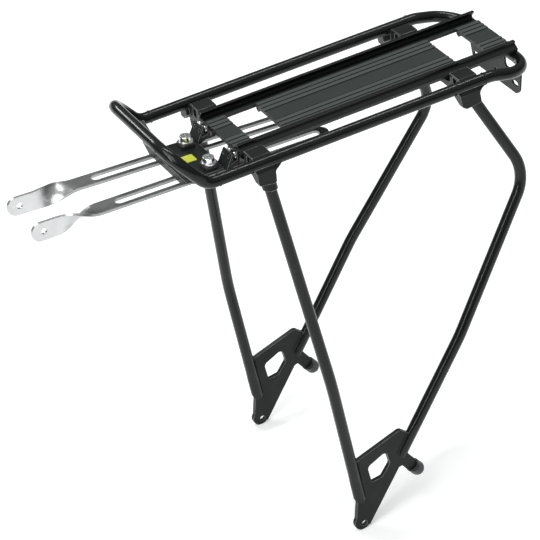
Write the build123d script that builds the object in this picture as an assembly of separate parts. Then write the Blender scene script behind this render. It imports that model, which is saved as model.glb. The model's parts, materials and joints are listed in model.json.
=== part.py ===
from build123d import *
import math
import os

# Rear bicycle rack, millimetres. +X points to the front of the bicycle, +Y to its left side, +Z up.
# The origin is on the axis of the two lower eyelets, in the rack's middle plane.

# Frame tube
TUBE_DIAMETER = 10.0
TUBE_WALL = 1.5
RAIL_HALF_SPACING = 62.0
RAIL_HEIGHT = 365.0
RAIL_FRONT_X = 76.0
RAIL_REAR_X = -172.0

# Front hoop: leaves the rails upward and forward, then crosses the rack
HOOP_BEND_X = 86.3
HOOP_TOP_X = 112.5
HOOP_TOP_HEIGHT = 397.5
HOOP_BEND_RADIUS = 15.0
HOOP_CORNER_RADIUS = 28.0

# Rear loop: dips under the end of the deck, then crosses the rack
LOOP_BEND_X = -179.0
LOOP_END_X = -220.5
LOOP_END_HEIGHT = 355.0
LOOP_BEND_RADIUS = 30.0
LOOP_CORNER_RADIUS = 28.0

# Deck extrusion
DECK_FRONT_X = 43.0
DECK_REAR_X = -221.0
DECK_TOP = 364.0
DECK_UNDERSIDE = 361.2
PANEL_HALF_WIDTH = 26.0
CHANNEL_TOP = 362.8
RIB_HEIGHT = 0.8
RIB_CENTRES = (11.4, 17.2, 23.0)
RIB_WIDTH = 4.0
FLANGE_TOP = 370.3
FLANGE_TOP_HALF_WIDTH = 34.0
FLANGE_BULGE_HEIGHT = 364.6
FLANGE_BULGE_HALF_WIDTH = 37.8
FLANGE_FOOT_HALF_WIDTH = 36.5
FLANGE_THICKNESS = 2.4
FLANGE_LIP_HEIGHT = 1.6
FLANGE_LIP_DEPTH = 0.9
SPINE_HALF_WIDTH = 7.6
SPINE_HEIGHT = 0.4
CUTOUT_HALF_WIDTH = 25.0
FRONT_CUTOUT_X = (-4.0, 25.2)
REAR_CUTOUT_X = (-198.3, -169.0)
SCREW_PORT_CENTRES = (21.8, 30.4)
SCREW_PORT_DIAMETER = 5.6
SCREW_PORT_HEIGHT = 360.9
END_SCREW_DIAMETER = 2.6
END_SCREW_LENGTH = 12.0
END_SCREW_HEAD_DIAMETER = 6.0
END_SCREW_HEAD_HEIGHT = 1.6

# Cast brackets: hollow block, rail saddle and leg socket
FRONT_BRACKET_X = 24.6
REAR_BRACKET_X = -169.6
BRACKET_LENGTH = 17.0
BRACKET_TOP = 367.6
BRACKET_INNER_Y = 40.2
BRACKET_OUTER_Y = 54.6
BRACKET_BASE = 352.6
TONGUE_INNER_Y = 19.0
TONGUE_OUTER_Y = 38.6
TONGUE_TOP = 358.0
SADDLE_FACE_Y = 69.2
FRONT_SOCKET_DIAMETER = 12.6
FRONT_SOCKET_BOTTOM = 341.0
WINDOW_WIDTH = 6.0
WINDOW_HEIGHT = 8.0
DECK_SCREW_Y = 26.1
DECK_SCREW_DIAMETER = 2.8
DECK_SCREW_TOP = 360.9
DECK_SCREW_HEAD_DIAMETER = 5.6
DECK_SCREW_HEAD_HEIGHT = 1.8

# Dropout plates
PLATE_CENTRE_Y = 93.4
PLATE_THICKNESS = 4.0
EYELET_DIAMETER = 5.4
FOOT_CENTRE = (1.8, 1.7)
FOOT_RADIUS = 7.5
ARM_CENTRE = (-50.8, 40.4)
ARM_RADIUS = 5.6
CAP_END = (-56.8, 32.6)
CAP_RADIUS = 6.3
CAP_RIM_OFFSET = 3.0
CAP_GAP = 0.4
TONGUE_LENGTH = 8.0
TONGUE_HALF_WIDTH = 3.0

# Legs: centre lines as (x, y, z) on the left side
FRONT_LEG_POINTS = ((34.0, 61.6, 352.0), (14.5, 93.4, 153.0), (0.9, 93.4, 24.0))
FRONT_LEG_RADII = (170.0,)
REAR_LEG_POINTS = (
    (-158.2, 61.0, 355.0),
    (-197.0, 76.9, 271.6),
    (-110.3, 93.4, 149.3),
    (-42.0, 93.4, 53.0),
)
REAR_LEG_RADII = (36.0, 120.0)
LEG_TIP_WIDTH = 10.6
LEG_TIP_THICKNESS = 8.8
LEG_TIP_LENGTH = 32.0
LEG_TRANSITION_LENGTH = 10.0

# Front plate and stays share one gentle upward slope
STAY_SLOPE_DEGREES = 2.7
BOLT_X = 65.0
BOLT_Y = 20.6
STAY_SPLAY_DEGREES = 1.1
STAY_TOP_AT_BOLT = 349.9
STAY_THICKNESS = 2.5
STAY_WIDTH = 16.5
STAY_SLOT_WIDTH = 8.6
SLIDING_GAP = 0.05
FRONT_PLATE_THICKNESS = 2.5

# Front plate outline, measured from the clamp bolts
PLATE_REAR = -10.2
PLATE_REAR_HALF_WIDTH = 29.3
PLATE_SIDE_HALF_WIDTH = 30.6
PLATE_FRONT = 29.5
PLATE_LIP_HEIGHT = 6.6
PLATE_LIP_HALF_WIDTH = 41.0
PLATE_LIP_THICKNESS = 2.0
EAR_REAR = 19.5
EAR_ROOT_Y = 30.0

# Places along the stay, measured from the clamp bolt
STAY_REAR = -111.0
SLOT_REAR = -103.0
SLOT_FRONT = 86.0
TWIST_START = 101.0
TWIST_END = 139.0
TAB_FRONT = 160.5
TAB_HOLE = 149.9
TAB_DROP = 2.2
TAB_HOLE_DIAMETER = 5.4
TWIST_STEPS = 9

# Clamp
BOLT_DIAMETER = 6.0
BOLT_HEAD_DIAMETER = 10.0
BOLT_HEAD_HEIGHT = 4.6
BOLT_SOCKET_FLATS = 5.0
BOLT_SOCKET_DEPTH = 2.6
WASHER_DIAMETER = 12.5
WASHER_THICKNESS = 1.2
CLAMP_BLOCK_LENGTH = 13.0
CLAMP_BLOCK_WIDTH = 13.0
CLAMP_BLOCK_HEIGHT = 4.0
NUT_PLATE_LENGTH = 18.0
NUT_PLATE_WIDTH = 15.0
NUT_PLATE_THICKNESS = 4.0
KEY_WIDTH = 8.0
KEY_LENGTH = 12.0
BOLT_HOLE_GAP = 0.05

# Struts from the front plate to the deck
STRUT_WIDTH = 16.0
STRUT_CENTRE_Y = 26.0
STRUT_THICKNESS = 2.0
STRUT_TOP = 365.6
STRUT_KNEE = 357.4

# Lamp plate
LAMP_PLATE_THICKNESS = 2.0
LAMP_POST_HALF_WIDTH = 15.8
LAMP_SLOT_SPACING = 62.0
LAMP_SLOT_HEIGHT = 328.6
LAMP_SLOT_WIDTH = 5.4
LAMP_SLOT_LENGTH = 10.0
LAMP_HOLE_DIAMETER = 4.2

SIDES = {"left": 1, "right": -1}
BIG = 400.0


def tube(path, outer=TUBE_DIAMETER, inner=TUBE_DIAMETER - 2 * TUBE_WALL):
    """A round tube swept along a path."""
    start = Plane(origin=path @ 0, z_dir=path % 0)
    shell = sweep(start * Circle(outer / 2), path=path)
    bore = sweep(start * Circle(inner / 2), path=path)
    return shell - bore


def rod(path, diameter):
    """A round solid bar swept along a path."""
    start = Plane(origin=path @ 0, z_dir=path % 0)
    return sweep(start * Circle(diameter / 2), path=path)


def mirrored(shape, side):
    """The left-hand shape, or its mirror image for the right-hand side."""
    return shape if side > 0 else mirror(shape, about=Plane.XZ)


def side_outline(points, radii):
    """A closed face in the XZ plane from (x, z) corners, each with its own rounding."""
    corners = [(x, 0, z) for x, z in points]
    return make_face(FilletPolyline(*corners, radius=radii, close=True))


def front_hoop_path():
    y = RAIL_HALF_SPACING
    points = [
        (RAIL_FRONT_X, y, RAIL_HEIGHT),
        (HOOP_BEND_X, y, RAIL_HEIGHT),
        (HOOP_TOP_X, y, HOOP_TOP_HEIGHT),
        (HOOP_TOP_X, -y, HOOP_TOP_HEIGHT),
        (HOOP_BEND_X, -y, RAIL_HEIGHT),
        (RAIL_FRONT_X, -y, RAIL_HEIGHT),
    ]
    radii = [HOOP_BEND_RADIUS, HOOP_CORNER_RADIUS, HOOP_CORNER_RADIUS, HOOP_BEND_RADIUS]
    return FilletPolyline(*points, radius=radii)


def rear_loop_path():
    y = RAIL_HALF_SPACING
    points = [
        (RAIL_REAR_X, y, RAIL_HEIGHT),
        (LOOP_BEND_X, y, RAIL_HEIGHT),
        (LOOP_END_X, y, LOOP_END_HEIGHT),
        (LOOP_END_X, -y, LOOP_END_HEIGHT),
        (LOOP_BEND_X, -y, RAIL_HEIGHT),
        (RAIL_REAR_X, -y, RAIL_HEIGHT),
    ]
    radii = [LOOP_BEND_RADIUS, LOOP_CORNER_RADIUS, LOOP_CORNER_RADIUS, LOOP_BEND_RADIUS]
    return FilletPolyline(*points, radius=radii)


def side_rail(side):
    y = side * RAIL_HALF_SPACING
    return tube(Line((RAIL_REAR_X, y, RAIL_HEIGHT), (RAIL_FRONT_X, y, RAIL_HEIGHT)))


def rail_envelope(side):
    """The full round bar that a rail fills, used to shape what seats on it."""
    y = side * RAIL_HALF_SPACING
    return rod(Line((-BIG, y, RAIL_HEIGHT), (BIG, y, RAIL_HEIGHT)), TUBE_DIAMETER)


def deck_flange(side):
    """One side flange: a leaning wall with a small lip along its outer top edge."""
    lip_y = FLANGE_TOP_HALF_WIDTH
    points = [
        (lip_y - FLANGE_LIP_DEPTH - FLANGE_THICKNESS, FLANGE_TOP),
        (lip_y, FLANGE_TOP),
        (lip_y, FLANGE_TOP - FLANGE_LIP_HEIGHT),
        (lip_y - FLANGE_LIP_DEPTH, FLANGE_TOP - FLANGE_LIP_HEIGHT - FLANGE_LIP_DEPTH),
        (FLANGE_BULGE_HALF_WIDTH, FLANGE_BULGE_HEIGHT),
        (FLANGE_FOOT_HALF_WIDTH, DECK_UNDERSIDE),
        (FLANGE_FOOT_HALF_WIDTH - FLANGE_THICKNESS, DECK_UNDERSIDE),
        (FLANGE_BULGE_HALF_WIDTH - FLANGE_THICKNESS, FLANGE_BULGE_HEIGHT),
    ]
    section = Polyline(*[(DECK_REAR_X, side * y, z) for y, z in points], close=True)
    return extrude(make_face(section), amount=DECK_FRONT_X - DECK_REAR_X, dir=(1, 0, 0))


def deck_box(x_range, y_range, z_range):
    """A plain block between two corners."""
    sizes = [high - low for low, high in (x_range, y_range, z_range)]
    middles = [(high + low) / 2 for low, high in (x_range, y_range, z_range)]
    return Pos(*middles) * Box(*sizes)


def screw_port_bar(side, centre, diameter, start_x, end_x):
    """A round bar along X on the axis of one screw port of the deck."""
    start = Plane(origin=(start_x, side * centre, SCREW_PORT_HEIGHT), z_dir=(1, 0, 0))
    return extrude(start * Circle(diameter / 2), end_x - start_x)


def deck():
    length = (DECK_REAR_X, DECK_FRONT_X)
    wall = FLANGE_FOOT_HALF_WIDTH - FLANGE_THICKNESS / 2
    panel = (-PANEL_HALF_WIDTH, PANEL_HALF_WIDTH)
    body = deck_box(length, (-wall, wall), (DECK_UNDERSIDE, CHANNEL_TOP))
    body += deck_box(length, panel, (DECK_UNDERSIDE, DECK_TOP))
    body += deck_flange(1) + deck_flange(-1)
    below_floor = deck_box(length, (-BIG, BIG), (0, DECK_UNDERSIDE + 0.5))
    for side in SIDES.values():
        for centre in RIB_CENTRES:
            y = side * centre
            rib = (y - RIB_WIDTH / 2, y + RIB_WIDTH / 2)
            body += deck_box(length, rib, (DECK_TOP, DECK_TOP + RIB_HEIGHT))
        for centre in SCREW_PORT_CENTRES:
            port = screw_port_bar(side, centre, SCREW_PORT_DIAMETER, *length)
            body += port & below_floor
            body -= screw_port_bar(side, centre, END_SCREW_DIAMETER, *length)
    body += deck_box(length, (-SPINE_HALF_WIDTH, SPINE_HALF_WIDTH), (DECK_TOP, DECK_TOP + SPINE_HEIGHT))
    across = (-CUTOUT_HALF_WIDTH, CUTOUT_HALF_WIDTH)
    for cutout in (FRONT_CUTOUT_X, REAR_CUTOUT_X):
        body -= deck_box(cutout, across, (0, BIG))
    return body - rod(rear_loop_path(), TUBE_DIAMETER)


def bracket_block(start_x):
    """The hollow block beside the deck, with its tongue under the deck."""
    outline = [
        (BRACKET_INNER_Y, BRACKET_TOP),
        (BRACKET_OUTER_Y, BRACKET_TOP),
        (BRACKET_OUTER_Y + 2.4, BRACKET_TOP - 2.0),
        (RAIL_HALF_SPACING - 2, RAIL_HEIGHT - 2),
        (RAIL_HALF_SPACING - 2, BRACKET_BASE),
        (TONGUE_INNER_Y, BRACKET_BASE),
        (TONGUE_INNER_Y, TONGUE_TOP),
        (TONGUE_OUTER_Y, TONGUE_TOP),
        (BRACKET_INNER_Y, TONGUE_TOP + 2.0),
    ]
    section = Polyline(*[(start_x, y, z) for y, z in outline], close=True)
    block = extrude(make_face(section), amount=BRACKET_LENGTH, dir=(1, 0, 0))
    middle_y = (BRACKET_INNER_Y + BRACKET_OUTER_Y) / 2
    middle_z = (BRACKET_TOP + TONGUE_TOP) / 2 - 1
    face = Plane(origin=(start_x, middle_y, middle_z), x_dir=(0, 1, 0), z_dir=(1, 0, 0))
    window = extrude(face * RectangleRounded(WINDOW_WIDTH, WINDOW_HEIGHT, 1.4), BRACKET_LENGTH)
    return block - window


def bracket_saddle(outline, radii):
    """The lump under the side rail: its side view, cut to the slanted section it has across the rack."""
    lump = extrude(side_outline(outline, radii), amount=BIG, dir=(0, 1, 0))
    across = [
        (60.0, RAIL_HEIGHT),
        (RAIL_HALF_SPACING + 4.0, RAIL_HEIGHT),
        (SADDLE_FACE_Y, 360.4),
        (SADDLE_FACE_Y, 345.2),
        (57.5, 356.3),
        (57.8, 361.5),
    ]
    section = Polyline(*[(-BIG, y, z) for y, z in across], close=True)
    return lump & extrude(make_face(section), amount=2 * BIG, dir=(1, 0, 0))


def front_saddle(points):
    """The front lump, with a short round socket along the leg."""
    outline = [
        (46.8, RAIL_HEIGHT - 1.0),
        (45.2, 360.0),
        (44.8, 349.4),
        (28.6, 346.8),
        (28.4, 359.0),
        (20.5, RAIL_HEIGHT - 1.6),
    ]
    lump = bracket_saddle(outline, [1.0, 3.0, 2.5, 2.5, 4.0, 0.5])
    socket = rod(Line(points[0], points[1]), FRONT_SOCKET_DIAMETER)
    return lump + (socket & level_slab(FRONT_SOCKET_BOTTOM, points[0][2] + 4))


def rear_saddle():
    """The rear lump, which the leg leaves backward."""
    outline = [
        (-143.4, RAIL_HEIGHT - 1.0),
        (-144.8, 361.0),
        (-146.4, 350.0),
        (-150.2, 347.4),
        (-164.7, 348.8),
        (-163.7, 360.2),
        (-172.5, RAIL_HEIGHT - 1.4),
    ]
    return bracket_saddle(outline, [1.0, 4.0, 2.0, 4.0, 2.0, 4.0, 0.5])


def level_slab(bottom, top):
    """Everything between two heights."""
    return Pos(0, 0, (bottom + top) / 2) * Box(2 * BIG, 2 * BIG, top - bottom)


def bracket(start_x, saddle, leg_bar):
    """One casting: deck block, rail saddle and leg socket."""
    rail = rail_envelope(1)
    casting = (bracket_block(start_x) - rail - leg_bar) + (saddle - rail - leg_bar)
    casting -= vertical_bar(start_x + BRACKET_LENGTH / 2, DECK_SCREW_Y, DECK_SCREW_DIAMETER, 0, BIG)
    return casting


def vertical_bar(x, y, diameter, bottom, top):
    """A round bar along Z."""
    return Pos(x, y, (bottom + top) / 2) * Cylinder(diameter / 2, top - bottom)


def deck_screws():
    """Four screws up through the bracket tongues, in the channel between the screw ports."""
    screws = []
    for start_x in (FRONT_BRACKET_X, REAR_BRACKET_X):
        for side in SIDES.values():
            x = start_x + BRACKET_LENGTH / 2
            y = side * DECK_SCREW_Y
            shank = vertical_bar(x, y, DECK_SCREW_DIAMETER, BRACKET_BASE, DECK_SCREW_TOP)
            head_bottom = BRACKET_BASE - DECK_SCREW_HEAD_HEIGHT
            head = vertical_bar(x, y, DECK_SCREW_HEAD_DIAMETER, head_bottom, BRACKET_BASE)
            screws.append(shank + head)
    return Compound(children=screws)


def leg_path(points, radii):
    return FilletPolyline(*points, radius=radii)


def shortened(points, length):
    """The same corner points, with the last one moved back along its run."""
    last = Vector(*points[-1])
    run = last - Vector(*points[-2])
    end = last - run.normalized() * length
    return [*points[:-1], (end.X, end.Y, end.Z)]


def leg_tip(points):
    """The flattened foot of a leg: round tube easing into an oval with a rounded end."""
    start = Vector(*shortened(points, LEG_TIP_LENGTH)[-1])
    end = Vector(*points[-1])
    along = (end - start).normalized()
    oval_start = start + along * LEG_TRANSITION_LENGTH
    round_plane = Plane(origin=start, x_dir=(0, 1, 0), z_dir=along)
    oval_plane = Plane(origin=oval_start, x_dir=(0, 1, 0), z_dir=along)
    oval = oval_plane * Ellipse(LEG_TIP_THICKNESS / 2, LEG_TIP_WIDTH / 2)
    eased = loft([round_plane * Circle(TUBE_DIAMETER / 2), oval])
    straight = extrude(oval, amount=LEG_TIP_LENGTH - LEG_TRANSITION_LENGTH)
    centre = end - along * (LEG_TIP_WIDTH / 2)
    rounded_end = Pos(*centre) * Rot(90, 0, 0) * Cylinder(LEG_TIP_WIDTH / 2, TUBE_DIAMETER)
    middle = (start + centre) * 0.5
    sheet_plane = Plane(origin=middle, x_dir=along, z_dir=(0, 1, 0))
    keep = extrude(sheet_plane * Rectangle((centre - start).length + 2, BIG), TUBE_DIAMETER / 2, both=True)
    return (eased + straight) & (keep + rounded_end)


def leg_bar(points, radii):
    """The solid outer shape of a leg's round stretch."""
    return rod(leg_path(shortened(points, LEG_TIP_LENGTH), radii), TUBE_DIAMETER)


def leg(points, radii, side, plate):
    stem = tube(leg_path(shortened(points, LEG_TIP_LENGTH), radii))
    return mirrored(stem + leg_tip(points) - plate, side)


def cap_direction():
    across = CAP_END[0] - ARM_CENTRE[0]
    down = CAP_END[1] - ARM_CENTRE[1]
    return Vector(across, 0, down).normalized()


def arm_stretch(start, end, half_width):
    """A round-ended strip of plate between two (x, z) points."""
    run = math.hypot(end[0] - start[0], end[1] - start[1])
    angle = math.degrees(math.atan2(end[1] - start[1], end[0] - start[0]))
    middle = ((start[0] + end[0]) / 2, (start[1] + end[1]) / 2)
    strip = SlotCenterToCenter(run, 2 * half_width, rotation=angle)
    solid = extrude(strip, amount=PLATE_THICKNESS / 2, both=True)
    return Pos(middle[0], 0, middle[1]) * Rot(90, 0, 0) * solid


def dropout_plate():
    """The left plate, in its own place."""
    outline = [
        (8.6, -0.5),
        (4.4, 25.0),
        (4.8, 65.9),
        (-43.6, 80.8),
        (-55.6, 70.4),
        (-48.8, 54.0),
        (-47.6, 44.2),
        (-38.9, 42.8),
        (-5.0, -3.8),
    ]
    rounding = [1.0, 10.0, 2.0, 5.0, 3.0, 6.0, 1.0, 2.0, 1.0]
    face = side_outline(outline, rounding)
    plate = extrude(face, amount=PLATE_THICKNESS / 2, both=True)
    plate += Pos(FOOT_CENTRE[0], 0, FOOT_CENTRE[1]) * Rot(90, 0, 0) * Cylinder(FOOT_RADIUS, PLATE_THICKNESS)
    reach = cap_direction() * TONGUE_LENGTH
    tongue_end = (ARM_CENTRE[0] + reach.X, ARM_CENTRE[1] + reach.Z)
    plate += arm_stretch((-44.5, 49.5), ARM_CENTRE, ARM_RADIUS)
    plate += arm_stretch(ARM_CENTRE, tongue_end, TONGUE_HALF_WIDTH)
    window = [(-11.4, 39.0), (-8.8, 56.4), (-28.0, 65.0), (-30.6, 51.0), (-21.8, 40.2)]
    hole = side_outline(window, [2.0, 4.5, 3.6, 4.0, 1.6])
    plate -= extrude(hole, amount=PLATE_THICKNESS, both=True)
    plate -= Rot(90, 0, 0) * Cylinder(EYELET_DIAMETER / 2, 2 * PLATE_THICKNESS)
    return Pos(0, PLATE_CENTRE_Y, 0) * plate


def hook_cap(plate):
    """The rounded cap pushed over the arm of the left plate."""
    along = cap_direction()
    rim = Vector(ARM_CENTRE[0], PLATE_CENTRE_Y, ARM_CENTRE[1]) + along * CAP_RIM_OFFSET
    end = Vector(CAP_END[0], PLATE_CENTRE_Y, CAP_END[1])
    barrel = extrude(Plane(origin=rim, z_dir=along) * Circle(CAP_RADIUS), (end - rim).length)
    mouth = Pos(ARM_CENTRE[0], PLATE_CENTRE_Y, ARM_CENTRE[1]) * Rot(90, 0, 0)
    mouth *= Cylinder(ARM_RADIUS + CAP_GAP, 4 * CAP_RADIUS)
    return barrel + Pos(*end) * Sphere(CAP_RADIUS) - mouth - plate


def on_slope(shape):
    """Place a shape drawn around the clamp bolts, whose z = 0 is the front plate's underside."""
    height = STAY_TOP_AT_BOLT + SLIDING_GAP
    return Pos(BOLT_X, 0, height) * Rot(0, -STAY_SLOPE_DEGREES, 0) * shape


def at_clamp(shape, height):
    """Place a shape drawn round the left clamp bolt, turned outward with the stay."""
    return on_slope(Pos(0, BOLT_Y, height) * Rot(0, 0, STAY_SPLAY_DEGREES) * shape)


def sloped_bar(diameter, bottom, top):
    """A round bar on the left clamp bolt's axis."""
    return on_slope(vertical_bar(0, BOLT_Y, diameter, bottom, top))


def upright_strip(outline, start, end):
    """A (y, z) outline extruded along the front plate's length."""
    section = Polyline(*[(start, y, z) for y, z in outline], close=True)
    return extrude(make_face(section), amount=end - start, dir=(1, 0, 0))


def front_plate(hoop_bar):
    """The plate that carries the stays: a flat sheet, a raised front lip and two ears up to the hoop."""
    half = [
        (PLATE_REAR, PLATE_REAR_HALF_WIDTH),
        (EAR_REAR, PLATE_SIDE_HALF_WIDTH),
        (PLATE_FRONT, PLATE_SIDE_HALF_WIDTH),
    ]
    corners = half + [(x, -y) for x, y in reversed(half)]
    outline = FilletPolyline(*corners, radius=[2.0, 6.0, 1.0, 1.0, 6.0, 2.0], close=True)
    plate = extrude(make_face(outline), amount=FRONT_PLATE_THICKNESS)
    root = EAR_ROOT_Y
    tip = PLATE_LIP_HALF_WIDTH
    lip = [(-tip, PLATE_LIP_HEIGHT), (-root, 0.0), (root, 0.0), (tip, PLATE_LIP_HEIGHT)]
    plate += upright_strip(lip, PLATE_FRONT - PLATE_LIP_THICKNESS, PLATE_FRONT)
    for side in SIDES.values():
        ear = [
            (root - 4.0, 0.0),
            (root - 4.0, FRONT_PLATE_THICKNESS),
            (root - 0.6, FRONT_PLATE_THICKNESS),
            (tip - 0.6, PLATE_LIP_HEIGHT + 2.8),
            (57.5, 16.2),
            (60.0, 16.2),
            (60.0, 13.2),
            (58.0, 13.2),
            (tip, PLATE_LIP_HEIGHT),
            (root, 0.0),
        ]
        plate += upright_strip([(side * y, z) for y, z in ear], EAR_REAR, PLATE_FRONT - PLATE_LIP_THICKNESS)
        plate -= Pos(0, side * BOLT_Y, 0) * Cylinder(BOLT_DIAMETER / 2 + BOLT_HOLE_GAP, 20)
    return on_slope(plate) - hoop_bar


def strut(side, plate):
    """A folded strap from the deck's front face down to the front plate."""
    outline = [
        (DECK_FRONT_X, STRUT_TOP),
        (DECK_FRONT_X + STRUT_THICKNESS, STRUT_TOP),
        (DECK_FRONT_X + STRUT_THICKNESS, STRUT_KNEE),
        (52.0, 355.9),
        (47.2, 363.1),
        (48.9, 364.2),
        (55.4, 352.6),
        (55.4, 350.4),
        (53.4, 350.4),
        (DECK_FRONT_X, STRUT_KNEE - STRUT_THICKNESS),
    ]
    rounding = [0.6, 0.6, 1.2, 0.6, 0.6, 0.6, 1.0, 0.5, 0.5, 1.5]
    face = Pos(0, STRUT_CENTRE_Y, 0) * side_outline(outline, rounding)
    strap = extrude(face, amount=STRUT_WIDTH / 2, both=True) - plate
    for centre in SCREW_PORT_CENTRES:
        strap -= screw_port_bar(1, centre, END_SCREW_DIAMETER, DECK_FRONT_X - 1, DECK_FRONT_X + 10)
    return mirrored(strap, side)


def strut_screws():
    """Four screws through the struts into the deck's end ports."""
    seat = DECK_FRONT_X + STRUT_THICKNESS
    screws = []
    for side in SIDES.values():
        for centre in SCREW_PORT_CENTRES:
            shank = screw_port_bar(side, centre, END_SCREW_DIAMETER, seat - END_SCREW_LENGTH, seat)
            head = screw_port_bar(side, centre, END_SCREW_HEAD_DIAMETER, seat, seat + END_SCREW_HEAD_HEIGHT)
            screws.append(shank + head)
    return Compound(children=screws)


def stay_section(place, turn, drop):
    """The stay's cross-section at one place along it, turned about its own length."""
    middle = (place, 0, -STAY_THICKNESS / 2 - drop)
    plane = Plane(origin=middle, x_dir=(0, 1, 0), z_dir=(1, 0, 0))
    return plane * Rot(0, 0, turn) * Rectangle(STAY_WIDTH, STAY_THICKNESS)


def stay():
    """The left stay, drawn with its top face at z = 0 and the clamp bolt at x = 0."""
    end = STAY_WIDTH / 2
    flat_middle = (STAY_REAR + end + TWIST_START) / 2
    flat = Pos(flat_middle, 0, 0) * Rectangle(TWIST_START - STAY_REAR - end, STAY_WIDTH)
    flat += Pos(STAY_REAR + end, 0, 0) * Circle(end)
    slot_middle = (SLOT_REAR + SLOT_FRONT) / 2
    flat -= Pos(slot_middle, 0, 0) * SlotOverall(SLOT_FRONT - SLOT_REAR, STAY_SLOT_WIDTH)
    body = extrude(flat, amount=-STAY_THICKNESS)
    sections = []
    for step in range(TWIST_STEPS + 1):
        part_way = step / TWIST_STEPS
        eased = part_way * part_way * (3 - 2 * part_way)
        place = TWIST_START + (TWIST_END - TWIST_START) * part_way
        sections.append(stay_section(place, 90 * eased, TAB_DROP * eased))
    body += loft(sections, ruled=True)
    tab_height = -STAY_THICKNESS / 2 - TAB_DROP
    tab_middle = (TWIST_END + TAB_FRONT - end) / 2
    tab = Pos(tab_middle, 0) * Rectangle(TAB_FRONT - end - TWIST_END, STAY_WIDTH)
    tab += Pos(TAB_FRONT - end, 0) * Circle(end)
    tab -= Pos(TAB_HOLE, 0) * Circle(TAB_HOLE_DIAMETER / 2)
    body += Pos(0, 0, tab_height) * Rot(90, 0, 0) * extrude(tab, amount=STAY_THICKNESS / 2, both=True)
    return body


def placed_stay(side):
    return mirrored(at_clamp(stay(), -SLIDING_GAP), side)


def clamp_stack():
    """Heights of the clamp's pieces above the front plate's underside."""
    block_bottom = FRONT_PLATE_THICKNESS
    washer_bottom = block_bottom + CLAMP_BLOCK_HEIGHT
    head_bottom = washer_bottom + WASHER_THICKNESS
    return block_bottom, washer_bottom, head_bottom


def clamp_block(side):
    bottom = clamp_stack()[0]
    block = extrude(RectangleRounded(CLAMP_BLOCK_LENGTH, CLAMP_BLOCK_WIDTH, 3.0), CLAMP_BLOCK_HEIGHT)
    block = chamfer(block.faces().sort_by(Axis.Z)[-1].edges(), 0.8)
    block -= Cylinder(BOLT_DIAMETER / 2 + BOLT_HOLE_GAP, 20)
    return mirrored(at_clamp(block, bottom), side)


def washer(side):
    bottom = clamp_stack()[1]
    ring = sloped_bar(WASHER_DIAMETER, bottom, bottom + WASHER_THICKNESS)
    ring -= sloped_bar(BOLT_DIAMETER + 2 * BOLT_HOLE_GAP, bottom - 1, bottom + 5)
    return mirrored(ring, side)


def clamp_bolt(side):
    head_bottom = clamp_stack()[2]
    shank = vertical_bar(0, 0, BOLT_DIAMETER, -NUT_PLATE_THICKNESS - STAY_THICKNESS - 1.5, head_bottom + 1)
    head = Pos(0, 0, head_bottom) * extrude(Circle(BOLT_HEAD_DIAMETER / 2), BOLT_HEAD_HEIGHT)
    head = chamfer(head.faces().sort_by(Axis.Z)[-1].edges(), 0.5)
    socket = RegularPolygon(BOLT_SOCKET_FLATS / 2, 6, major_radius=False)
    top = head_bottom + BOLT_HEAD_HEIGHT
    head -= Pos(0, 0, top - BOLT_SOCKET_DEPTH) * extrude(socket, BOLT_SOCKET_DEPTH + 1)
    return mirrored(at_clamp(shank + head, 0), side)


def nut_plate(side):
    """The threaded plate below the stay, with the key that fills the stay's slot."""
    top = -STAY_THICKNESS - 2 * SLIDING_GAP
    outline = RectangleRounded(NUT_PLATE_LENGTH, NUT_PLATE_WIDTH, 3.0)
    body = Pos(0, 0, top - NUT_PLATE_THICKNESS) * extrude(outline, NUT_PLATE_THICKNESS)
    key_height = STAY_THICKNESS - 0.3
    body += Pos(0, 0, top) * extrude(SlotOverall(KEY_LENGTH, KEY_WIDTH), key_height)
    body -= Cylinder(BOLT_DIAMETER / 2, 30)
    return mirrored(at_clamp(body, 0), side)


def lamp_plate():
    """The upright plate welded under the rear loop."""
    half = [
        (LAMP_POST_HALF_WIDTH, LOOP_END_HEIGHT - 3.0),
        (LAMP_POST_HALF_WIDTH, 338.0),
        (36.0, 342.4),
        (40.6, 340.4),
        (36.2, 318.7),
    ]
    corners = half + [(-y, z) for y, z in reversed(half)]
    rounding = [0.0, 3.0, 3.0, 2.0, 8.0, 8.0, 2.0, 3.0, 3.0, 0.0]
    points = [(LOOP_END_X, y, z) for y, z in corners]
    face = make_face(FilletPolyline(*points, radius=rounding, close=True))
    plate = extrude(face, amount=LAMP_PLATE_THICKNESS / 2, both=True)
    across = Plane(origin=(LOOP_END_X - 5, 0, LAMP_SLOT_HEIGHT), x_dir=(0, 1, 0), z_dir=(1, 0, 0))
    plate -= extrude(across * Circle(LAMP_HOLE_DIAMETER / 2), 10)
    for side in SIDES.values():
        slot = SlotOverall(LAMP_SLOT_LENGTH, LAMP_SLOT_WIDTH)
        plate -= extrude(across * (Pos(side * LAMP_SLOT_SPACING / 2, 0) * slot), 10)
    return plate - rod(rear_loop_path(), TUBE_DIAMETER)


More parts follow.
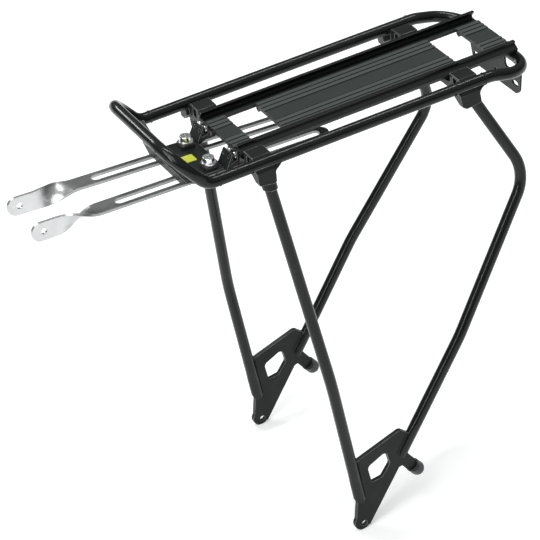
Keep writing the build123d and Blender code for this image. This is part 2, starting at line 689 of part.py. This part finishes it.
def build_parts():
    hoop_bar = rod(front_hoop_path(), TUBE_DIAMETER)
    plate = dropout_plate()
    cap = hook_cap(plate)
    sheet = front_plate(hoop_bar)
    legs = {
        "front": (FRONT_LEG_POINTS, FRONT_LEG_RADII, FRONT_BRACKET_X, front_saddle(FRONT_LEG_POINTS)),
        "rear": (REAR_LEG_POINTS, REAR_LEG_RADII, REAR_BRACKET_X, rear_saddle()),
    }
    parts = {
        "front_hoop": tube(front_hoop_path()),
        "rear_loop": tube(rear_loop_path()),
        "deck": deck(),
        "deck_screws": deck_screws(),
        "front_plate": sheet,
        "strut_screws": strut_screws(),
        "lamp_plate": lamp_plate(),
    }
    for side_name, side in SIDES.items():
        parts[f"{side_name}_rail"] = side_rail(side)
        parts[f"{side_name}_dropout_plate"] = mirrored(plate, side)
        parts[f"{side_name}_hook_cap"] = mirrored(cap, side)
        parts[f"{side_name}_strut"] = strut(side, sheet)
        parts[f"{side_name}_stay"] = placed_stay(side)
        parts[f"{side_name}_clamp_bolt"] = clamp_bolt(side)
        parts[f"{side_name}_washer"] = washer(side)
        parts[f"{side_name}_clamp_block"] = clamp_block(side)
        parts[f"{side_name}_nut_plate"] = nut_plate(side)
    for end_name, (points, radii, start_x, saddle) in legs.items():
        casting = bracket(start_x, saddle, leg_bar(points, radii))
        for side_name, side in SIDES.items():
            parts[f"{end_name}_{side_name}_leg"] = leg(points, radii, side, plate)
            parts[f"{end_name}_{side_name}_bracket"] = mirrored(casting, side)
    return parts


os.makedirs("parts", exist_ok=True)
for name, shape in build_parts().items():
    export_step(shape, f"parts/{name}.step")
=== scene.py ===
import json
import math

import bpy
from mathutils import Matrix, Vector


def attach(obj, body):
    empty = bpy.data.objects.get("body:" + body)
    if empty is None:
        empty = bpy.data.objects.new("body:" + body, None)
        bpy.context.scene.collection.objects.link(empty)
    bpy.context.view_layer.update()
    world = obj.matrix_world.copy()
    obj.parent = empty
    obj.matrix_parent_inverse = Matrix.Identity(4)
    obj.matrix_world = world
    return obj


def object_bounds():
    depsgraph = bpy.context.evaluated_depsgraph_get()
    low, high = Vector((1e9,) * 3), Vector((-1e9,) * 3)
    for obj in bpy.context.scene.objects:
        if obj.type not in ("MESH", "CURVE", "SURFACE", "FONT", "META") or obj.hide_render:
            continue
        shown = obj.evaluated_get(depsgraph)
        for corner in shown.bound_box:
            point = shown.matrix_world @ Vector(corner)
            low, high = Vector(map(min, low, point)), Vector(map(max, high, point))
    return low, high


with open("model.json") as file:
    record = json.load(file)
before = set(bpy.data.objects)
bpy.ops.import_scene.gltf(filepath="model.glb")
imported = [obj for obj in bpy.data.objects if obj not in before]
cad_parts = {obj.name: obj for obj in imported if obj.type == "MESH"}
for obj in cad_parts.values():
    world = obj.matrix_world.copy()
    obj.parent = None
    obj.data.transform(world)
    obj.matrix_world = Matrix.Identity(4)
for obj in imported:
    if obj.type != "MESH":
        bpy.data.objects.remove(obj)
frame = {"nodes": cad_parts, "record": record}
cad_low, cad_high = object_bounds()

# All lengths are metres, in the rack's own frame: +X forward, +Y left, +Z up.
MM = 0.001

# Places on the frame that the welds follow
TUBE_RADIUS = 5.0 * MM
RAIL_Y = 62.0 * MM
RAIL_Z = 365.0 * MM
HOOP_JOINT_X = 76.0 * MM
LOOP_JOINT_X = -172.0 * MM
LOOP_BACK_X = -220.5 * MM
LOOP_BACK_Z = 355.0 * MM
LAMP_POST_HALF_WIDTH = 15.0 * MM
LAMP_PLATE_HALF_THICKNESS = 1.0 * MM
PLATE_Y = 93.4 * MM
PLATE_HALF_THICKNESS = 2.0 * MM
LEG_TIP_HALF_WIDTH = 5.5 * MM
BEAD_RADIUS = 1.05 * MM
LABEL_CENTRE = (73.0 * MM, -0.5 * MM)
LABEL_HALF_SIZE = 5.5 * MM
LABEL_CORNER = 1.2 * MM
LABEL_THICKNESS = 0.15 * MM

# Each leg's weld: (x, z) of its top, (x, z) of the leg's end, the side it
# starts on, and how far it turns round the end, in radians
FRONT_LEG_WELD = ((5.1 * MM, 64.0 * MM), (0.9 * MM, 24.0 * MM), 1, 2.3)
REAR_LEG_WELD = ((-54.0 * MM, 69.9 * MM), (-42.0 * MM, 53.0 * MM), -1, 2.9)

# Where the colours change: from the first value to the second. The stay's tab and clamp changes are
# painted reflection and shade, and the flange change is partly painted sheen.
FLANGE_START_Y = (30.0 * MM, 31.0 * MM)
RIB_TOP_Z = (364.30 * MM, 364.75 * MM)
STAY_TAB_X = (170.0 * MM, 200.0 * MM)
STAY_CLAMP_X = (150.0 * MM, 92.0 * MM)

# Camera, round a point in the middle of the rack
CAMERA_TARGET = Vector((0.0, 0.0, 0.240))
CAMERA_AZIMUTH = math.radians(155.794)
CAMERA_ELEVATION = math.radians(33.589)
CAMERA_ROLL = math.radians(-7.663)
CAMERA_SIDE_STEP = 0.0100836
CAMERA_RISE = 0.0223308
CAMERA_DISTANCE = 2.48285
CAMERA_LENS = 196.36
SENSOR_WIDTH = 36.0


# ---------------------------------------------------------------- shader nodes


def add_node(tree, kind, inputs=None, **settings):
    """A new node with its settings, and its inputs linked or set."""
    made = tree.nodes.new(kind)
    for name, value in settings.items():
        setattr(made, name, value)
    for name, value in (inputs or {}).items():
        if isinstance(value, bpy.types.NodeSocket):
            tree.links.new(value, made.inputs[name])
        else:
            made.inputs[name].default_value = value
    return made


def new_material(name):
    material = bpy.data.materials.new(name)
    material.use_nodes = True
    tree = material.node_tree
    return material, tree, tree.nodes["Principled BSDF"]


def place(tree):
    """The point on the piece, in the rack's frame."""
    return add_node(tree, "ShaderNodeTexCoord").outputs["Object"]


def noise(tree, scale, detail=3.0, stretch=(1.0, 1.0, 1.0), roughness=0.5):
    """Noise over the piece. A stretch below 1 on an axis draws the grain out along it."""
    scaled = add_node(tree, "ShaderNodeMapping", {"Vector": place(tree), "Scale": stretch})
    inputs = {
        "Vector": scaled.outputs["Vector"],
        "Scale": scale,
        "Detail": detail,
        "Roughness": roughness,
    }
    return add_node(tree, "ShaderNodeTexNoise", inputs).outputs["Fac"]


def remapped(tree, value, from_range, to_range):
    inputs = {
        "Value": value,
        "From Min": from_range[0],
        "From Max": from_range[1],
        "To Min": to_range[0],
        "To Max": to_range[1],
    }
    return add_node(tree, "ShaderNodeMapRange", inputs).outputs["Result"]


def calculated(tree, operation, first, second):
    made = add_node(tree, "ShaderNodeMath", operation=operation)
    for index, value in enumerate((first, second)):
        if isinstance(value, bpy.types.NodeSocket):
            tree.links.new(value, made.inputs[index])
        else:
            made.inputs[index].default_value = value
    return made.outputs["Value"]


def blended(tree, amount, first, second):
    """A colour between two, each a socket or an (r, g, b)."""
    made = add_node(tree, "ShaderNodeMix", data_type="RGBA")
    if isinstance(amount, bpy.types.NodeSocket):
        tree.links.new(amount, made.inputs[0])
    else:
        made.inputs[0].default_value = amount
    for index, value in ((6, first), (7, second)):
        if isinstance(value, bpy.types.NodeSocket):
            tree.links.new(value, made.inputs[index])
        else:
            made.inputs[index].default_value = (*value, 1.0)
    return made.outputs[2]


def rounded_normal(tree, radius):
    """The normal softened at sharp edges, as a coat of paint softens them."""
    return add_node(tree, "ShaderNodeBevel", {"Radius": radius}, samples=6).outputs["Normal"]


def edge_mask(tree, radius):
    """1 on sharp edges, 0 on flats."""
    soft = rounded_normal(tree, radius)
    sharp = add_node(tree, "ShaderNodeNewGeometry").outputs["Normal"]
    dot = add_node(tree, "ShaderNodeVectorMath", operation="DOT_PRODUCT")
    tree.links.new(soft, dot.inputs[0])
    tree.links.new(sharp, dot.inputs[1])
    return remapped(tree, dot.outputs["Value"], (0.97, 0.80), (0.0, 1.0))


def bumped(tree, height, strength, distance, normal=None):
    inputs = {"Height": height, "Strength": strength, "Distance": distance}
    if normal is not None:
        inputs["Normal"] = normal
    return add_node(tree, "ShaderNodeBump", inputs).outputs["Normal"]


def wire(tree, shader, **sockets):
    """Link sockets to the shader's inputs, named with underscores for spaces."""
    for name, socket in sockets.items():
        tree.links.new(socket, shader.inputs[name.replace("_", " ")])


def coat_of_paint(name, dark, light, edge_tint, roughness, grain_scale, grain_strength, edge_radius):
    """Paint over metal: mottled colour, fine grain, dust-scuffed patches, and edges painted paler:
    rubbed paint, and where the edge tint is bright also a painted highlight.
    """
    material, tree, shader = new_material(name)
    mottle = noise(tree, 45.0, 4.0)
    colour = blended(tree, remapped(tree, mottle, (0.35, 0.70), (0.0, 1.0)), dark, light)
    edge_patches = remapped(tree, noise(tree, 160.0, 5.0), (0.30, 0.65), (0.35, 1.0))
    # Edges lightened towards the edge tint: rubbed paint, plus a painted highlight where the tint is
    # bright
    edge_lightening = calculated(tree, "MULTIPLY", edge_mask(tree, edge_radius), edge_patches)
    colour = blended(tree, edge_lightening, colour, edge_tint)
    scuff = noise(tree, 320.0, 6.0, roughness=0.65)
    gloss = remapped(tree, scuff, (0.30, 0.75), roughness)
    grain = noise(tree, grain_scale, 2.0)
    normal = bumped(tree, grain, grain_strength, 0.1 * MM, rounded_normal(tree, edge_radius))
    wire(tree, shader, Base_Color=colour, Roughness=gloss, Normal=normal)
    return material, tree, shader


# ---------------------------------------------------------------- materials


def frame_paint():
    material, _, shader = coat_of_paint(
        "frame_paint",
        dark=(0.0035, 0.0045, 0.0043),
        light=(0.0075, 0.0095, 0.0090),
        edge_tint=(0.070, 0.074, 0.073),
        roughness=(0.20, 0.26),
        grain_scale=1500.0,
        grain_strength=0.04,
        edge_radius=0.4 * MM,
    )
    shader.inputs["Specular IOR Level"].default_value = 0.16
    shader.inputs["Coat Weight"].default_value = 0.30
    shader.inputs["Coat Roughness"].default_value = 0.06
    return material


def cast_paint():
    material, _, shader = coat_of_paint(
        "cast_paint",
        dark=(0.0065, 0.0082, 0.0080),
        light=(0.0130, 0.0155, 0.0150),
        # The pale edge tint is partly rubbed paint and partly a painted highlight along the edges
        edge_tint=(0.380, 0.388, 0.385),
        roughness=(0.36, 0.48),
        grain_scale=900.0,
        grain_strength=0.30,
        edge_radius=1.1 * MM,
    )
    shader.inputs["Specular IOR Level"].default_value = 0.18
    shader.inputs["Coat Weight"].default_value = 0.06
    shader.inputs["Coat Roughness"].default_value = 0.25
    return material


def plate_paint():
    material, _, shader = coat_of_paint(
        "plate_paint",
        dark=(0.0075, 0.0098, 0.0092),
        light=(0.0140, 0.0175, 0.0165),
        # The pale edge tint is partly rubbed paint and partly a painted highlight along the edges
        edge_tint=(0.440, 0.448, 0.445),
        roughness=(0.32, 0.42),
        grain_scale=1200.0,
        grain_strength=0.12,
        edge_radius=0.8 * MM,
    )
    shader.inputs["Specular IOR Level"].default_value = 0.18
    shader.inputs["Coat Weight"].default_value = 0.05
    shader.inputs["Coat Roughness"].default_value = 0.25
    return material


def deck_coat():
    """Anodised extrusion: glossy black side flanges, a grey-green top panel whose tint is the finish
    and whose extra lightness over the flanges is painted sheen, and rib tops painted paler by height.
    """
    material, tree, shader = new_material("deck_coat")
    parts = add_node(tree, "ShaderNodeSeparateXYZ", {"Vector": place(tree)})
    across = calculated(tree, "ABSOLUTE", parts.outputs["Y"], 0.0)
    height = parts.outputs["Z"]
    on_flange = remapped(tree, across, FLANGE_START_Y, (0.0, 1.0))
    on_rib = remapped(tree, height, RIB_TOP_Z, (0.0, 1.0))
    streaks = noise(tree, 900.0, 4.0, stretch=(0.02, 1.0, 1.0))
    clouds = noise(tree, 24.0, 3.0)
    # The panel's grey-green tint is the finish; its lightness over the black flanges is a painted sheen
    # on the flat top
    panel = blended(tree, streaks, (0.0120, 0.0160, 0.0142), (0.0215, 0.0268, 0.0245))
    fading = remapped(tree, clouds, (0.3, 0.7), (0.0, 0.35))
    panel = blended(tree, fading, panel, (0.029, 0.031, 0.034))
    # Rib tops painted paler, set by height alone
    paler_rib_tops = calculated(tree, "MULTIPLY", on_rib, 0.70)
    panel = blended(tree, paler_rib_tops, panel, (0.075, 0.086, 0.082))
    flange = blended(tree, streaks, (0.0030, 0.0038, 0.0037), (0.0065, 0.0078, 0.0076))
    colour = blended(tree, on_flange, panel, flange)
    edge_lightening = calculated(tree, "MULTIPLY", edge_mask(tree, 0.5 * MM), 0.55)
    colour = blended(tree, edge_lightening, colour, (0.12, 0.128, 0.128))
    gloss = remapped(tree, streaks, (0.25, 0.75), (0.30, 0.44))
    lines = bumped(tree, streaks, 0.16, 0.08 * MM, rounded_normal(tree, 0.35 * MM))
    wire(tree, shader, Base_Color=colour, Roughness=gloss, Normal=lines)
    shader.inputs["Specular IOR Level"].default_value = 0.26
    return material


def stay_metal():
    """Bright aluminium strip, brushed along its length; its tabs are painted lighter as a painted
    reflection, it is painted darker towards the clamp as painted shade and reflection of the plate, and
    its edges are painted darker as painted shade.
    """
    material, tree, shader = new_material("stay_metal")
    brush = noise(tree, 1100.0, 4.0, stretch=(0.03, 1.0, 1.0))
    clouds = noise(tree, 30.0, 4.0)
    forward = add_node(tree, "ShaderNodeSeparateXYZ", {"Vector": place(tree)}).outputs["X"]
    near_tab = remapped(tree, forward, STAY_TAB_X, (0.0, 1.0))
    near_clamp = remapped(tree, forward, STAY_CLAMP_X, (0.0, 1.0))
    # Bars and tabs are one strip of metal; the tabs are painted lighter, a painted reflection of the
    # bright floor
    bar = blended(tree, brush, (0.31, 0.318, 0.316), (0.43, 0.438, 0.436))
    tab = blended(tree, brush, (0.60, 0.606, 0.606), (0.68, 0.686, 0.686))
    colour = blended(tree, near_tab, bar, tab)
    # Painted shade and reflection: the strip darkens towards the clamp, where the dark plate shades it
    # and shows in it
    painted_clamp_shade = calculated(tree, "MULTIPLY", near_clamp, 0.50)
    colour = blended(tree, painted_clamp_shade, colour, (0.16, 0.165, 0.165))
    stain = remapped(tree, clouds, (0.45, 0.75), (0.0, 0.25))
    colour = blended(tree, stain, colour, (0.24, 0.248, 0.248))
    # Painted shade: the strip's sharp edges are painted darker
    painted_edge_shade = calculated(tree, "MULTIPLY", edge_mask(tree, 0.5 * MM), 0.7)
    colour = blended(tree, painted_edge_shade, colour, (0.14, 0.145, 0.145))
    gloss = remapped(tree, brush, (0.25, 0.75), (0.26, 0.40))
    lines = bumped(tree, brush, 0.14, 0.05 * MM, rounded_normal(tree, 0.4 * MM))
    wire(tree, shader, Base_Color=colour, Roughness=gloss, Normal=lines)
    shader.inputs["Metallic"].default_value = 1.0
    shader.inputs["Anisotropic"].default_value = 0.35
    return material


def plated_steel(name, dull, bright, roughness, grain_scale):
    material, tree, shader = new_material(name)
    spots = noise(tree, grain_scale, 5.0, roughness=0.7)
    colour = blended(tree, remapped(tree, spots, (0.30, 0.65), (0.0, 1.0)), dull, bright)
    gloss = remapped(tree, spots, (0.30, 0.70), roughness)
    normal = bumped(tree, spots, 0.10, 0.04 * MM, rounded_normal(tree, 0.3 * MM))
    wire(tree, shader, Base_Color=colour, Roughness=gloss, Normal=normal)
    shader.inputs["Metallic"].default_value = 1.0
    return material


def bolt_steel():
    return plated_steel("bolt_steel", (0.70, 0.71, 0.72), (0.93, 0.935, 0.94), (0.22, 0.10), 700.0)


def washer_steel():
    return plated_steel("washer_steel", (0.50, 0.51, 0.52), (0.80, 0.81, 0.82), (0.42, 0.26), 900.0)


def block_black():
    """Moulded black plastic with a fine spark-eroded grain."""
    material, tree, shader = new_material("block_black")
    grain = noise(tree, 2200.0, 2.0)
    colour = blended(tree, noise(tree, 90.0, 3.0), (0.008, 0.0085, 0.009), (0.020, 0.021, 0.022))
    gloss = remapped(tree, grain, (0.3, 0.7), (0.38, 0.52))
    normal = bumped(tree, grain, 0.25, 0.05 * MM, rounded_normal(tree, 0.4 * MM))
    wire(tree, shader, Base_Color=colour, Roughness=gloss, Normal=normal)
    return material


def cap_rubber():
    """Matt dark grey rubber with a soft grain and a bloom of paler dust."""
    material, tree, shader = new_material("cap_rubber")
    grain = noise(tree, 1400.0, 4.0)
    dust = remapped(tree, noise(tree, 120.0, 5.0), (0.45, 0.80), (0.0, 0.6))
    colour = blended(tree, dust, (0.024, 0.026, 0.027), (0.050, 0.052, 0.054))
    gloss = remapped(tree, grain, (0.3, 0.7), (0.55, 0.72))
    normal = bumped(tree, grain, 0.30, 0.06 * MM, rounded_normal(tree, 0.5 * MM))
    wire(tree, shader, Base_Color=colour, Roughness=gloss, Normal=normal)
    shader.inputs["Sheen Weight"].default_value = 0.25
    return material


def label_film():
    """A plain yellow sticker with a slight sheen and faint creases."""
    material, tree, shader = new_material("label_film")
    creases = noise(tree, 500.0, 4.0)
    colour = blended(tree, creases, (0.46, 0.50, 0.02), (0.58, 0.61, 0.05))
    gloss = remapped(tree, creases, (0.3, 0.7), (0.30, 0.45))
    normal = bumped(tree, creases, 0.15, 0.05 * MM)
    wire(tree, shader, Base_Color=colour, Roughness=gloss, Normal=normal)
    return material


def floor_finish():
    material, tree, shader = new_material("floor_finish")
    speckle = noise(tree, 3.0, 2.0)
    colour = blended(tree, speckle, (0.90, 0.905, 0.905), (0.92, 0.925, 0.925))
    wire(tree, shader, Base_Color=colour)
    shader.inputs["Roughness"].default_value = 0.9
    shader.inputs["Specular IOR Level"].default_value = 0.1
    shader.inputs["Emission Color"].default_value = (1.0, 1.0, 1.0, 1.0)
    shader.inputs["Emission Strength"].default_value = 0.24
    return material


MATERIALS = {
    "frame_paint": frame_paint(),
    "deck_coat": deck_coat(),
    "cast_paint": cast_paint(),
    "plate_paint": plate_paint(),
    "stay_metal": stay_metal(),
    "bolt_steel": bolt_steel(),
    "washer_steel": washer_steel(),
    "block_black": block_black(),
    "cap_rubber": cap_rubber(),
}


def dress_cad_nodes():
    """Give every CAD node the material that its slot in the record names."""
    for part in frame["record"]["subparts"]:
        node = frame["nodes"][part["node"]]
        material = MATERIALS[part["material_slot"]]
        if not node.material_slots:
            node.data.materials.append(material)
        for slot in node.material_slots:
            slot.material = material


# ---------------------------------------------------------------- welds


def ring_path(centre, axis, radius, steps=64):
    """A closed circle of points round an axis."""
    turn = Vector((0, 0, 1)).rotation_difference(axis)
    points = []
    for step in range(steps):
        angle = 2 * math.pi * step / steps
        points.append(centre + turn @ Vector((math.cos(angle), math.sin(angle), 0)) * radius)
    return points


def line_path(start, end, spacing=0.45 * MM):
    steps = max(2, round((end - start).length / spacing))
    return [start.lerp(end, step / steps) for step in range(steps + 1)]


def bead_mesh(points, closed, radius, ripple=0.16, sides=8):
    """A rippled bead along a path: rings of vertices and the faces between them, as one closed skin."""
    count = len(points)
    vertices = []
    for index, point in enumerate(points):
        before = points[index - 1] if closed or index > 0 else point
        after = points[(index + 1) % count] if closed or index < count - 1 else point
        along = (after - before).normalized()
        side = along.orthogonal().normalized()
        up = along.cross(side)
        swell = 1.0 + ripple * math.sin(index * math.pi * 0.5)
        taper = 1.0
        if not closed:
            taper = min(1.0, 0.35 + 0.25 * min(index, count - 1 - index))
        for corner in range(sides):
            angle = 2 * math.pi * corner / sides
            reach = radius * swell * taper
            vertices.append(point + (side * math.cos(angle) + up * math.sin(angle)) * reach)
    faces = []
    rings = count if closed else count - 1
    for ring in range(rings):
        for corner in range(sides):
            here = ring * sides
            there = ((ring + 1) % count) * sides
            following = (corner + 1) % sides
            faces.append((here + corner, here + following, there + following, there + corner))
    if not closed:
        faces.append(tuple(reversed(range(sides))))
        faces.append(tuple((count - 1) * sides + corner for corner in range(sides)))
    return vertices, faces


def piece_from(name, meshes, material, body="rack"):
    """One object from several (vertices, faces) skins, riding on a body."""
    vertices = []
    faces = []
    for points, quads in meshes:
        base = len(vertices)
        vertices.extend(points)
        faces.extend(tuple(base + index for index in quad) for quad in quads)
    mesh = bpy.data.meshes.new(name)
    mesh.from_pydata([tuple(point) for point in vertices], [], faces)
    mesh.polygons.foreach_set("use_smooth", [True] * len(mesh.polygons))
    mesh.materials.append(material)
    mesh.update()
    made = bpy.data.objects.new(name, mesh)
    bpy.context.scene.collection.objects.link(made)
    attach(made, body)
    return made


def steady_ring(centre, axis, radius, bead_radius):
    """A closed bead round a tube, whose cross-section keeps to the ring's own axis."""
    points = ring_path(centre, axis, radius)
    sides = 8
    vertices = []
    for index, point in enumerate(points):
        outward = (point - centre).normalized()
        reach = bead_radius * (1.0 + 0.16 * math.sin(index * math.pi * 0.5))
        for corner in range(sides):
            angle = 2 * math.pi * corner / sides
            vertices.append(point + (outward * math.cos(angle) + axis * math.sin(angle)) * reach)
    faces = []
    for ring in range(len(points)):
        here = ring * sides
        there = ((ring + 1) % len(points)) * sides
        for corner in range(sides):
            following = (corner + 1) % sides
            faces.append((here + corner, there + corner, there + following, here + following))
    return vertices, faces


def tube_seam_welds():
    """Beads where the hoop and the rear loop join the side rails."""
    for name, x in (("hoop_welds", HOOP_JOINT_X), ("loop_welds", LOOP_JOINT_X)):
        rings = []
        for side in (1, -1):
            centre = Vector((x, side * RAIL_Y, RAIL_Z))
            rings.append(steady_ring(centre, Vector((1, 0, 0)), TUBE_RADIUS, 0.55 * MM))
        piece_from(name, rings, MATERIALS["frame_paint"])


def leg_weld_path(top, tip, face_y, weld_side, sweep):
    """Down one side of a leg's flat tip, then part of the way round its end."""
    along = Vector((tip[0] - top[0], 0, tip[1] - top[1])).normalized()
    sideways = Vector((along.z, 0, -along.x)) * weld_side
    centre = Vector((tip[0], face_y, tip[1])) - along * LEG_TIP_HALF_WIDTH
    start = Vector((top[0], face_y, top[1])) + sideways * LEG_TIP_HALF_WIDTH
    points = line_path(start, centre + sideways * LEG_TIP_HALF_WIDTH)
    steps = 20
    for step in range(1, steps + 1):
        angle = sweep * step / steps
        reach = sideways * math.cos(angle) + along * math.sin(angle)
        points.append(centre + reach * LEG_TIP_HALF_WIDTH)
    return points


def leg_welds():
    """Fillet beads that hold each leg's flat tip on both faces of its dropout plate."""
    for side_name, side in (("left", 1), ("right", -1)):
        beads = []
        for face in (1, -1):
            y = side * (PLATE_Y + face * PLATE_HALF_THICKNESS)
            for top, tip, weld_side, sweep in (FRONT_LEG_WELD, REAR_LEG_WELD):
                path = leg_weld_path(top, tip, y, weld_side, sweep)
                beads.append(bead_mesh(path, False, BEAD_RADIUS))
        piece_from(f"{side_name}_leg_welds", beads, MATERIALS["plate_paint"])


def lamp_plate_welds():
    """Two straight beads where the lamp plate hangs from the rear loop."""
    beads = []
    for face in (1, -1):
        x = LOOP_BACK_X + face * LAMP_PLATE_HALF_THICKNESS
        z = LOOP_BACK_Z - TUBE_RADIUS
        start = Vector((x, -LAMP_POST_HALF_WIDTH, z))
        end = Vector((x, LAMP_POST_HALF_WIDTH, z))
        beads.append(bead_mesh(line_path(start, end), False, BEAD_RADIUS))
    piece_from("lamp_plate_welds", beads, MATERIALS["plate_paint"])


# ---------------------------------------------------------------- label


def rounded_outline(centre, half_size, corner, steps=6):
    """Points round a square with rounded corners, as (x, y)."""
    points = []
    inner = half_size - corner
    for quarter, (side_x, side_y) in enumerate(((1, 1), (-1, 1), (-1, -1), (1, -1))):
        for step in range(steps + 1):
            angle = math.pi / 2 * (quarter + step / steps)
            x = centre[0] + side_x * inner + corner * math.cos(angle)
            y = centre[1] + side_y * inner + corner * math.sin(angle)
            points.append((x, y))
    return points


def plate_label():
    """A plain yellow label that lies on the front plate, between the clamp bolts."""
    plate = frame["nodes"]["front_plate"]
    outline = rounded_outline(LABEL_CENTRE, LABEL_HALF_SIZE, LABEL_CORNER)
    vertices = []
    for lift in (LABEL_THICKNESS, 0.02 * MM):
        for x, y in outline:
            found, point, _, _ = plate.ray_cast(Vector((x, y, cad_high.z)), Vector((0, 0, -1)))
            if not found:
                raise RuntimeError("the label lies off the front plate")
            vertices.append(point + Vector((0, 0, lift)))
    count = len(outline)
    faces = [tuple(range(count))]
    faces.append(tuple(reversed(range(count, 2 * count))))
    for index in range(count):
        following = (index + 1) % count
        faces.append((index, index + count, following + count, following))
    label = piece_from("plate_label", [(vertices, faces)], label_film())
    label.data.polygons.foreach_set("use_smooth", [False] * len(label.data.polygons))


# ---------------------------------------------------------------- studio


def make_floor():
    size = 20.0
    height = cad_low.z
    directions = ((-1, -1), (1, -1), (1, 1), (-1, 1))
    corners = [(size * along, size * across, height) for along, across in directions]
    mesh = bpy.data.meshes.new("floor")
    mesh.from_pydata(corners, [], [(0, 1, 2, 3)])
    mesh.materials.append(floor_finish())
    floor = bpy.data.objects.new("floor", mesh)
    bpy.context.scene.collection.objects.link(floor)


def make_world():
    """A soft grey dome, darker near the horizon."""
    world = bpy.data.worlds.new("studio")
    bpy.context.scene.world = world
    world.use_nodes = True
    tree = world.node_tree
    direction = add_node(tree, "ShaderNodeTexCoord").outputs["Generated"]
    height = add_node(tree, "ShaderNodeSeparateXYZ", {"Vector": direction}).outputs["Z"]
    level = remapped(tree, height, (0.05, 0.95), (0.0, 1.0))
    colour = blended(tree, level, (0.10, 0.105, 0.105), (0.62, 0.64, 0.64))
    tree.links.new(colour, tree.nodes["Background"].inputs["Color"])
    tree.nodes["Background"].inputs["Strength"].default_value = 0.80


def make_light(name, location, aim, size, power):
    data = bpy.data.lights.new(name, "AREA")
    data.shape = "RECTANGLE"
    data.size = size[0]
    data.size_y = size[1]
    data.energy = power
    light = bpy.data.objects.new(name, data)
    light.location = location
    light.rotation_mode = "QUATERNION"
    light.rotation_quaternion = (Vector(aim) - Vector(location)).to_track_quat("-Z", "Y")
    bpy.context.scene.collection.objects.link(light)


def make_lights():
    """A broad soft light high at the front left, and thin strips whose
    reflections draw lines along the tubes."""
    target = (0.0, 0.0, 0.25)
    below_rail_strip = (-0.68, 0.0, 0.25)
    make_light("overhead_softbox", (1.5, 0.9, 2.7), target, (2.2, 2.2), 56.0)
    make_light("rail_strip", (-0.68, -0.40, 2.09), below_rail_strip, (1.3, 0.07), 14.0)
    make_light("hoop_strip", (0.55, -1.75, 1.55), target, (0.9, 0.14), 9.0)
    make_light("side_strip", (2.0, 0.9, 1.2), target, (0.12, 1.4), 11.0)


def make_camera():
    flat = math.cos(CAMERA_ELEVATION)
    back = Vector(
        (
            math.sin(CAMERA_AZIMUTH) * flat,
            -math.cos(CAMERA_AZIMUTH) * flat,
            math.sin(CAMERA_ELEVATION),
        )
    )
    right = Vector((0, 0, 1)).cross(back).normalized()
    up = back.cross(right)
    rolled_right = right * math.cos(CAMERA_ROLL) + up * math.sin(CAMERA_ROLL)
    rolled_up = up * math.cos(CAMERA_ROLL) - right * math.sin(CAMERA_ROLL)
    turn = Matrix((rolled_right, rolled_up, back)).transposed()
    data = bpy.data.cameras.new("camera")
    data.sensor_width = SENSOR_WIDTH
    data.lens = CAMERA_LENS
    camera = bpy.data.objects.new("camera", data)
    step = rolled_right * CAMERA_SIDE_STEP + rolled_up * CAMERA_RISE
    camera.location = CAMERA_TARGET - step + back * CAMERA_DISTANCE
    camera.rotation_mode = "QUATERNION"
    camera.rotation_quaternion = turn.to_quaternion()
    bpy.context.scene.collection.objects.link(camera)
    bpy.context.scene.camera = camera


make_camera()
make_world()
make_lights()
make_floor()
dress_cad_nodes()
tube_seam_welds()
leg_welds()
lamp_plate_welds()
plate_label()
bpy.context.scene.view_settings.view_transform = "Standard"

bpy.context.view_layer.update()
